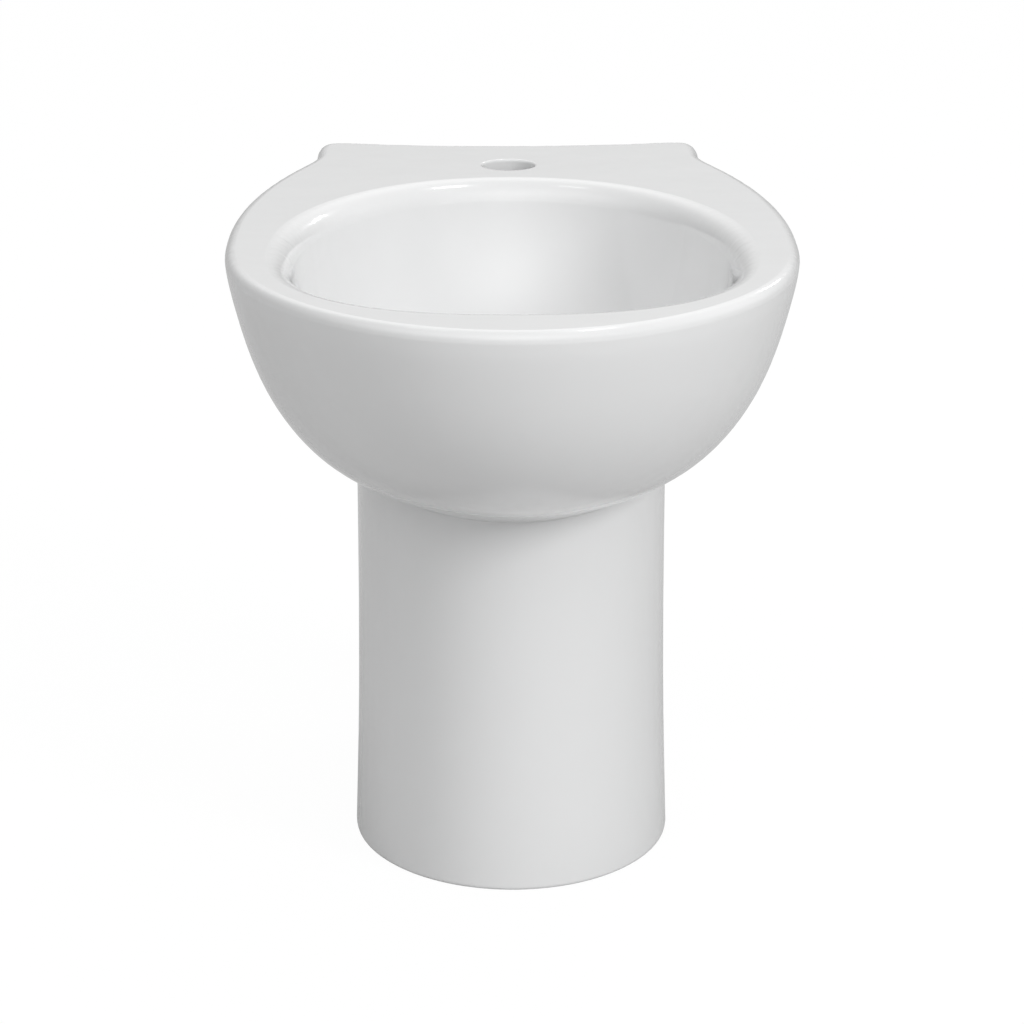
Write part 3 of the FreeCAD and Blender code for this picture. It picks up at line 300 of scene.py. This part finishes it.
def rubber(name):
    """Black rubber with a dusty, pebbled skin."""
    shader = Shader(name)
    dust = shader.noise(RUBBER_DUST_SCALE, detail=4.0)
    shader.color(shader.blend(dust, *RUBBER_TINTS))
    skin = shader.noise(RUBBER_SKIN_SCALE, detail=2.0)
    shader.rough(shader.between(skin, *RUBBER_ROUGHNESS))
    shader.bump(skin, RUBBER_SKIN_STRENGTH, RUBBER_SKIN_DEPTH)
    return shader.material


# Darker and paler tint, roughness, and for some the stretch of the grain along each axis and its scale
METALS = {
    "plated_brass": ((0.74, 0.75, 0.77), (0.80, 0.81, 0.82), (0.05, 0.11)),
    "nut_brass": ((0.62, 0.45, 0.22), (0.74, 0.57, 0.30), (0.29, 0.42), (1, 1, 14), 500.0),
    "stem_steel": ((0.56, 0.56, 0.57), (0.66, 0.66, 0.67), (0.16, 0.26), (1, 1, 12)),
    "spring_steel": ((0.50, 0.50, 0.52), (0.62, 0.62, 0.64), (0.16, 0.26)),
    "screw_steel": ((0.60, 0.60, 0.61), (0.70, 0.70, 0.70), (0.16, 0.26)),
}
PLASTICS = {
    "washer_plastic": ((0.72, 0.72, 0.69), (0.78, 0.78, 0.75), (0.40, 0.55)),
    "cartridge_plastic": ((0.040, 0.042, 0.046), (0.055, 0.058, 0.062), (0.35, 0.50)),
    "trap_plastic": ((0.75, 0.75, 0.73), (0.80, 0.80, 0.78), (0.29, 0.40)),
    "pipe_plastic": ((0.74, 0.74, 0.72), (0.79, 0.79, 0.77), (0.29, 0.42), (1, 0.05, 1), 900.0),
    "cap_plastic": ((0.77, 0.77, 0.76), (0.80, 0.80, 0.79), (0.18, 0.26)),
}
MATERIALS = {
    "glaze": glaze(),
    "seal_rubber": rubber("seal_rubber"),
    "bracket_zinc": zinc("bracket_zinc"),
}
MATERIALS.update({name: metal(name, *values) for name, values in METALS.items()})
MATERIALS.update({name: plastic(name, *values) for name, values in PLASTICS.items()})


def dress_nodes():
    """Give every CAD node the material of its slot in the record."""
    for entry in frame["record"]["subparts"]:
        item = frame["nodes"][entry["node"]]
        item.data.materials.clear()
        item.data.materials.append(MATERIALS[entry["material_slot"]])


def spring_coil():
    """The plug's spring as a piece of its own, on the root body."""
    coil = bpy.data.objects.new("spring_coil", frame["nodes"]["plug_spring"].data.copy())
    bpy.context.scene.collection.objects.link(coil)
    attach(coil, "root")
    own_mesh(coil)
    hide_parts("plug_spring")


# Studio

def studio_floor():
    """A pale floor, clear from below. It looks nearly white straight on, and keeps the shadow."""
    mesh = bpy.data.meshes.new("floor")
    half = FLOOR_HALF
    outline = ((-half, -half), (half, -half), (half, half), (-half, half))
    corners = [(x, y, FLOOR_HEIGHT) for x, y in outline]
    mesh.from_pydata(corners, [], [(0, 1, 2, 3)])
    floor = bpy.data.objects.new("floor", mesh)
    bpy.context.scene.collection.objects.link(floor)
    shader = Shader("floor")
    shader.set(Roughness=FLOOR_ROUGHNESS)
    shader.body.inputs["Base Color"].default_value = (FLOOR_SHADE, FLOOR_SHADE, FLOOR_SHADE, 1)
    glow = shader.add("ShaderNodeEmission")
    glow.inputs["Strength"].default_value = FLOOR_GLOW
    mix = shader.add("ShaderNodeMixShader")
    shader.join(shader.math("MULTIPLY", shader.seen_directly(), FLOOR_WHITENING), mix.inputs[0])
    shader.join(shader.body.outputs["BSDF"], mix.inputs[1])
    shader.join(glow.outputs["Emission"], mix.inputs[2])
    open_below = shader.add("ShaderNodeMixShader")
    shader.join(shader.add("ShaderNodeNewGeometry").outputs["Backfacing"], open_below.inputs[0])
    shader.join(mix.outputs[0], open_below.inputs[1])
    shader.join(shader.add("ShaderNodeBsdfTransparent").outputs[0], open_below.inputs[2])
    shader.join(open_below.outputs[0], shader.output.inputs["Surface"])
    mesh.materials.append(shader.material)


def side_of_tent(around, up):
    """The direction of a side of the tent, from degrees round from the front and degrees up."""
    around = math.radians(around)
    up = math.radians(up)
    return math.sin(around) * math.cos(up), -math.cos(around) * math.cos(up), math.sin(up)


def tent():
    """White all round where it is seen or mirrored; its light is soft, and stronger from some sides."""
    world = bpy.data.worlds.new("tent")
    bpy.context.scene.world = world
    tree = Tree(world)
    facing = tree.add("ShaderNodeTexCoord").outputs["Generated"]
    light = TENT_LIGHT
    for around, up, tightness, strength in TENT_SIDES.values():
        dot = tree.add("ShaderNodeVectorMath", operation="DOT_PRODUCT")
        tree.join(facing, dot.inputs[0])
        dot.inputs[1].default_value = side_of_tent(around, up)
        near = tree.math("POWER", tree.math("MAXIMUM", dot.outputs["Value"]), float(tightness))
        light = tree.math("ADD", tree.math("MULTIPLY", near, strength), light)
    lighting = tree.add("ShaderNodeBackground")
    tree.put(light, lighting.inputs["Strength"])
    white = tree.add("ShaderNodeBackground")
    white.inputs["Strength"].default_value = TENT_WHITE
    for background in (lighting, white):
        background.inputs["Color"].default_value = (1, 1, 1, 1)
    mix = tree.add("ShaderNodeMixShader")
    tree.join(tree.seen_directly(), mix.inputs[0])
    tree.join(lighting.outputs[0], mix.inputs[1])
    tree.join(white.outputs[0], mix.inputs[2])
    tree.join(mix.outputs[0], tree.add("ShaderNodeOutputWorld").inputs["Surface"])


def lamp(name, place, width, height, power, mirrored):
    data = bpy.data.lights.new(name, "AREA")
    data.shape = "RECTANGLE"
    data.size = width
    data.size_y = height
    data.energy = power
    item = bpy.data.objects.new(name, data)
    bpy.context.scene.collection.objects.link(item)
    item.location = place
    item.visible_glossy = mirrored
    aim = Vector(LIGHT_TARGET) - Vector(place)
    item.rotation_euler = aim.to_track_quat("-Z", "Y").to_euler()


def lamps():
    for name, settings in LAMPS.items():
        lamp(name, *settings)


camera()
studio_floor()
tent()
lamps()
dress_nodes()
spring_coil()

bpy.context.scene.view_settings.view_transform = "Standard"
